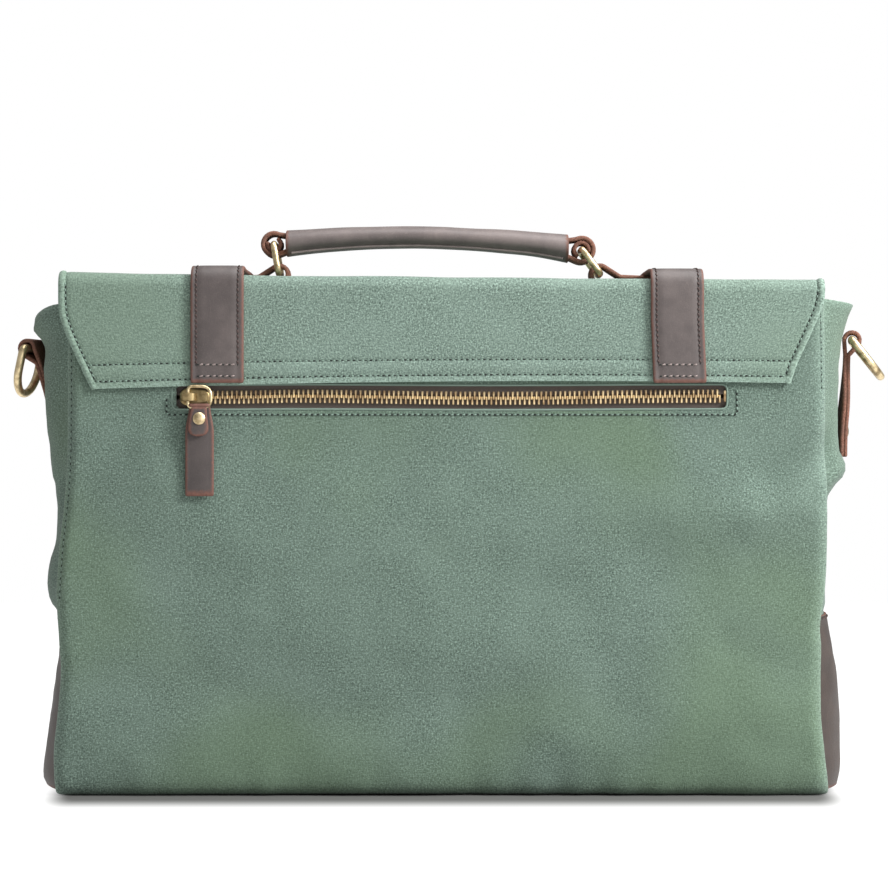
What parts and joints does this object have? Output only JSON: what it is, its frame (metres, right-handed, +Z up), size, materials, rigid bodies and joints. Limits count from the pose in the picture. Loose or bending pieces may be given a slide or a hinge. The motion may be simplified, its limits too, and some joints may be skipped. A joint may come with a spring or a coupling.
{
  "type": "satchel bag",
  "caption": "Canvas satchel with a hinged flap, leather straps and buckles, a swinging top handle, side D-rings and a zipped rear pocket.",
  "frame": {"origin": "middle of the leather base, on the surface the bag stands on", "axes": "+Z up, +X along the bag's length, -Y the rear face with the zip, +Y the front that the flap closes over"},
  "size_m": [0.4738, 0.1257, 0.3041],
  "materials": {
    "canvas": "washed sage green canvas",
    "leather": "dark grey-brown waxed leather with warm raw edges",
    "lining_cloth": "plain woven lining",
    "stiffener": "fibre board",
    "zip_tape": "dark brown woven tape",
    "zip_metal": "aged brass teeth and slider",
    "antique_brass": "antique brass hardware"
  },
  "bodies": {
    "bag": {"back_panel": "canvas", "front_panel": "canvas", "gusset_left": "canvas", "gusset_right": "canvas", "corner_leather_left": "leather", "corner_leather_right": "leather", "base_panel": "leather", "base_board": "stiffener", "lining": "lining_cloth", "rear_pocket": "lining_cloth", "zip_tape_upper": "zip_tape", "zip_tape_lower": "zip_tape", "zip_teeth_upper": "zip_metal", "zip_teeth_lower": "zip_metal", "flap_back": "canvas", "strap_back_left": "leather", "strap_back_right": "leather", "snap_base_left": "antique_brass", "snap_base_right": "antique_brass", "side_tab_left": "leather", "side_tab_right": "leather", "side_rivet_left": "antique_brass", "side_rivet_right": "antique_brass"},
    "flap": {"flap": "canvas", "flap_lining": "lining_cloth", "strap_front_left": "leather", "strap_front_right": "leather", "buckle_left": "antique_brass", "buckle_right": "antique_brass", "buckle_patch_left": "leather", "buckle_patch_right": "leather", "snap_cap_left": "antique_brass", "snap_cap_right": "antique_brass", "handle_chape_left": "leather", "handle_chape_right": "leather"},
    "prong_left": {"buckle_prong_left": "antique_brass"},
    "prong_right": {"buckle_prong_right": "antique_brass"},
    "handle_ring_left": {"handle_ring_left": "antique_brass"},
    "handle_ring_right": {"handle_ring_right": "antique_brass"},
    "handle": {"handle_core": "leather", "handle_grip": "leather"},
    "side_ring_left": {"side_ring_left": "antique_brass"},
    "side_ring_right": {"side_ring_right": "antique_brass"},
    "zip_slider": {"zip_slider": "zip_metal", "zip_slider_back": "zip_metal"},
    "pull_ring": {"pull_ring": "zip_metal"},
    "pull_tab": {"pull_tab": "leather", "pull_rivet": "antique_brass"}
  },
  "joints": [
    {"name": "flap_hinge", "type": "hinge", "parent": "bag", "child": "flap", "pos_m": [0, -0.0537, 0.27], "axis": [1, 0, 0], "range_deg": [0, 150]},
    {"name": "prong_hinge_left", "type": "hinge", "parent": "flap", "child": "prong_left", "pos_m": [-0.1188, 0.0618, 0.1175], "axis": [1, 0, 0], "range_deg": [0, 100]},
    {"name": "prong_hinge_right", "type": "hinge", "parent": "flap", "child": "prong_right", "pos_m": [0.1222, 0.0618, 0.1175], "axis": [1, 0, 0], "range_deg": [0, 100]},
    {"name": "handle_ring_hinge_left", "type": "hinge", "parent": "flap", "child": "handle_ring_left", "pos_m": [-0.0896, 0, 0.2775], "axis": [0, 1, 0], "range_deg": [0, 47]},
    {"name": "handle_hinge", "type": "hinge", "parent": "handle_ring_left", "child": "handle", "pos_m": [-0.09247, 0, 0.29375], "axis": [0, 1, 0], "range_deg": [-50, 0]},
    {"name": "handle_ring_hinge_right", "type": "hinge", "parent": "flap", "child": "handle_ring_right", "pos_m": [0.0847, 0, 0.2775], "axis": [0, 1, 0], "range_deg": [0, 47.5]},
    {"name": "side_ring_hinge_left", "type": "hinge", "parent": "bag", "child": "side_ring_left", "pos_m": [-0.2245, 0, 0.237], "axis": [0.2419, 0.9703, 0], "range_deg": [-7.5, 130]},
    {"name": "side_ring_hinge_right", "type": "hinge", "parent": "bag", "child": "side_ring_right", "pos_m": [0.2228, 0, 0.2415], "axis": [-0.1616, -0.9869, 0], "range_deg": [-33, 110]},
    {"name": "zip_slide", "type": "slide", "parent": "bag", "child": "zip_slider", "axis": [1, 0, 0], "range_m": [0, 0.268]},
    {"name": "pull_ring_hinge", "type": "hinge", "parent": "zip_slider", "child": "pull_ring", "pos_m": [-0.1339, -0.0572, 0.2096], "axis": [0, 0, -1], "range_deg": [0, 90]},
    {"name": "pull_tab_hinge", "type": "hinge", "parent": "pull_ring", "child": "pull_tab", "pos_m": [-0.1279, -0.0572, 0.2041], "axis": [-1, 0, 0], "range_deg": [0, 75]}
  ],
  "couplings": [
    {"joint": "handle_hinge", "follows": "handle_ring_hinge_left", "ratio": -1.045},
    {"joint": "handle_ring_hinge_right", "follows": "handle_ring_hinge_left", "ratio": 1}
  ]
}
